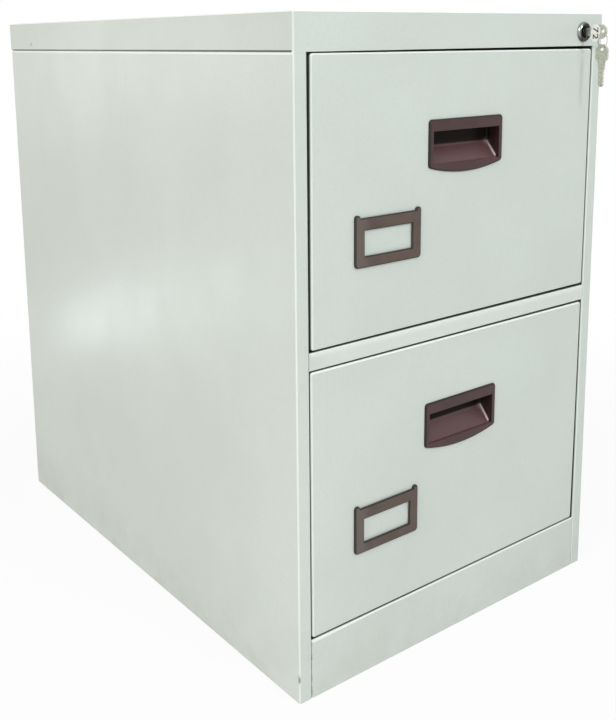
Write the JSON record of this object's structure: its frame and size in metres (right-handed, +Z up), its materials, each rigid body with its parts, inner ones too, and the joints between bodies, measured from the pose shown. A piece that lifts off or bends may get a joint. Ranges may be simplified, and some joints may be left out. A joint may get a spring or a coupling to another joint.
{
  "type": "filing cabinet",
  "caption": "Steel filing cabinet with suspension-file drawers on roller runners, moulded recessed handles, label holders and a key lock that blocks the drawers.",
  "frame": {"origin": "on the floor under the middle of the carcass, at the underside of the base panel", "axes": "+X to the right of a person who faces the drawers, +Y from the front to the back, +Z up"},
  "size_m": [0.46, 0.7052, 0.7],
  "materials": {
    "cabinet_paint": "semi-gloss powder coat, pale grey-green",
    "handle_plastic": "satin moulded plastic, warm brown",
    "label_plastic": "satin moulded plastic, grey-brown",
    "lock_chrome": "dark polished chrome",
    "key_metal": "worn nickel-plated brass",
    "tag_plastic": "white tag with plain digits",
    "ring_steel": "flat steel wire",
    "runner_steel": "bright zinc plate",
    "galvanised_steel": "galvanised sheet",
    "roller_nylon": "natural nylon"
  },
  "bodies": {
    "carcass": {"top_cover": "cabinet_paint", "left_side_panel": "cabinet_paint", "right_side_panel": "cabinet_paint", "back_panel": "cabinet_paint", "base_panel": "cabinet_paint", "plinth_panel": "cabinet_paint", "cross_rail": "cabinet_paint", "left_front_upright": "galvanised_steel", "left_rear_upright": "galvanised_steel", "right_front_upright": "galvanised_steel", "right_rear_upright": "galvanised_steel", "upper_left_cabinet_rail": "runner_steel", "upper_right_cabinet_rail": "runner_steel", "lower_left_cabinet_rail": "runner_steel", "lower_right_cabinet_rail": "runner_steel", "lock_housing": "lock_chrome", "lock_clip": "runner_steel", "lock_bar_guides": "galvanised_steel"},
    "upper_drawer": {"upper_front_panel": "cabinet_paint", "upper_front_backing": "cabinet_paint", "upper_tub": "cabinet_paint", "upper_tub_back": "cabinet_paint", "upper_handle": "handle_plastic", "upper_label_holder": "label_plastic", "upper_left_drawer_rail": "runner_steel", "upper_right_drawer_rail": "runner_steel", "upper_lock_catch": "galvanised_steel"},
    "upper_cradles": {"upper_left_cradle": "runner_steel", "upper_right_cradle": "runner_steel"},
    "upper_rear_rollers": {"upper_rear_rollers": "roller_nylon"},
    "upper_middle_rollers": {"upper_middle_rollers": "roller_nylon"},
    "upper_front_rollers": {"upper_front_rollers": "roller_nylon"},
    "lower_drawer": {"lower_front_panel": "cabinet_paint", "lower_front_backing": "cabinet_paint", "lower_tub": "cabinet_paint", "lower_tub_back": "cabinet_paint", "lower_handle": "handle_plastic", "lower_label_holder": "label_plastic", "lower_left_drawer_rail": "runner_steel", "lower_right_drawer_rail": "runner_steel", "lower_lock_catch": "galvanised_steel"},
    "lower_cradles": {"lower_left_cradle": "runner_steel", "lower_right_cradle": "runner_steel"},
    "lower_rear_rollers": {"lower_rear_rollers": "roller_nylon"},
    "lower_middle_rollers": {"lower_middle_rollers": "roller_nylon"},
    "lower_front_rollers": {"lower_front_rollers": "roller_nylon"},
    "lock_plug": {"lock_plug": "lock_chrome", "lock_cam": "galvanised_steel"},
    "lock_bar": {"lock_bar": "galvanised_steel"},
    "key": {"key": "key_metal", "key_tag": "tag_plastic"},
    "key_ring": {"key_ring": "ring_steel"},
    "spare_key": {"spare_key": "key_metal"}
  },
  "joints": [
    {"name": "upper_drawer_slide", "type": "slide", "parent": "carcass", "child": "upper_drawer", "axis": [0, -1, 0], "range_m": [0, 0.56]},
    {"name": "upper_cradle_slide", "type": "slide", "parent": "carcass", "child": "upper_cradles", "axis": [0, -1, 0], "range_m": [0, 0.28]},
    {"name": "upper_rear_rollers_turn", "type": "hinge", "parent": "upper_cradles", "child": "upper_rear_rollers", "pos_m": [0, 0.262, 0.435], "axis": [1, 0, 0], "range_deg": [0, 1310]},
    {"name": "upper_middle_rollers_turn", "type": "hinge", "parent": "upper_cradles", "child": "upper_middle_rollers", "pos_m": [0, -0.018, 0.435], "axis": [1, 0, 0], "range_deg": [0, 1310]},
    {"name": "upper_front_rollers_turn", "type": "hinge", "parent": "upper_cradles", "child": "upper_front_rollers", "pos_m": [0, -0.298, 0.435], "axis": [1, 0, 0], "range_deg": [0, 1310]},
    {"name": "lower_drawer_slide", "type": "slide", "parent": "carcass", "child": "lower_drawer", "axis": [0, -1, 0], "range_m": [0, 0.56]},
    {"name": "lower_cradle_slide", "type": "slide", "parent": "carcass", "child": "lower_cradles", "axis": [0, -1, 0], "range_m": [0, 0.28]},
    {"name": "lower_rear_rollers_turn", "type": "hinge", "parent": "lower_cradles", "child": "lower_rear_rollers", "pos_m": [0, 0.262, 0.1275], "axis": [1, 0, 0], "range_deg": [0, 1310]},
    {"name": "lower_middle_rollers_turn", "type": "hinge", "parent": "lower_cradles", "child": "lower_middle_rollers", "pos_m": [0, -0.018, 0.1275], "axis": [1, 0, 0], "range_deg": [0, 1310]},
    {"name": "lower_front_rollers_turn", "type": "hinge", "parent": "lower_cradles", "child": "lower_front_rollers", "pos_m": [0, -0.298, 0.1275], "axis": [1, 0, 0], "range_deg": [0, 1310]},
    {"name": "lock_turn", "type": "hinge", "parent": "carcass", "child": "lock_plug", "pos_m": [0.194, -0.335, 0.6785], "axis": [0, 1, 0], "range_deg": [0, 90]},
    {"name": "lock_bar_slide", "type": "slide", "parent": "carcass", "child": "lock_bar", "axis": [0, 0, -1], "range_m": [0, 0.01132]},
    {"name": "key_pull", "type": "slide", "parent": "lock_plug", "child": "key", "axis": [0, -1, 0], "range_m": [0, 0.03]},
    {"name": "key_ring_swing", "type": "hinge", "parent": "key", "child": "key_ring", "pos_m": [0.194, -0.362, 0.6785], "axis": [-1, 0, 0], "range_deg": [-10, 90]},
    {"name": "spare_key_swing", "type": "hinge", "parent": "key_ring", "child": "spare_key", "pos_m": [0.194, -0.362, 0.6589], "axis": [-1, 0, 0], "range_deg": [-10, 90]}
  ],
  "couplings": [
    {"joint": "upper_cradle_slide", "follows": "upper_drawer_slide", "ratio": 0.5},
    {"joint": "upper_rear_rollers_turn", "follows": "upper_drawer_slide", "rad_per_m": 40.65},
    {"joint": "upper_middle_rollers_turn", "follows": "upper_drawer_slide", "rad_per_m": 40.65},
    {"joint": "upper_front_rollers_turn", "follows": "upper_drawer_slide", "rad_per_m": 40.65},
    {"joint": "lower_cradle_slide", "follows": "lower_drawer_slide", "ratio": 0.5},
    {"joint": "lower_rear_rollers_turn", "follows": "lower_drawer_slide", "rad_per_m": 40.65},
    {"joint": "lower_middle_rollers_turn", "follows": "lower_drawer_slide", "rad_per_m": 40.65},
    {"joint": "lower_front_rollers_turn", "follows": "lower_drawer_slide", "rad_per_m": 40.65},
    {"joint": "lock_bar_slide", "follows": "lock_turn", "m_per_rad": 0.0072025}
  ]
}
